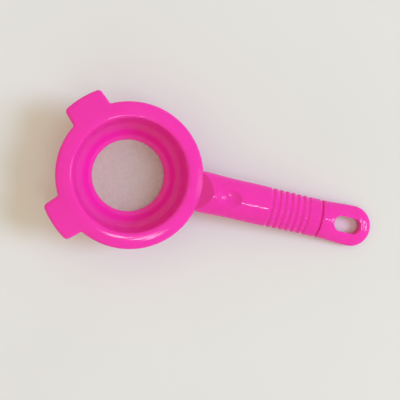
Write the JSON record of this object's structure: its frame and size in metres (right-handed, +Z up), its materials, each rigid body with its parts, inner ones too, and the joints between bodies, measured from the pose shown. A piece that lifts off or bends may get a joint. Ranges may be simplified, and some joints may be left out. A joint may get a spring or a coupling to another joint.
{
  "type": "flour sifter",
  "caption": "Hand flour sifter: a round bowl with a mesh floor, rest ears on the rim and a ribbed handle ending in a cap with a hanging slot.",
  "frame": {"origin": "on the bowl's axis, in the plane of the foot collar's bottom face", "axes": "+Z up the bowl's axis, out of its mouth; +X along the handle, from bowl to cap; +Y across, to complete a right-handed frame"},
  "size_m": [0.205, 0.092, 0.0339],
  "materials": {
    "pink_plastic": "gloss",
    "mesh_metal": "satin"
  },
  "bodies": {
    "root": {"sifter_body": "pink_plastic", "mesh": "mesh_metal", "mesh_ring": "pink_plastic", "end_cap": "pink_plastic"}
  },
  "joints": []
}
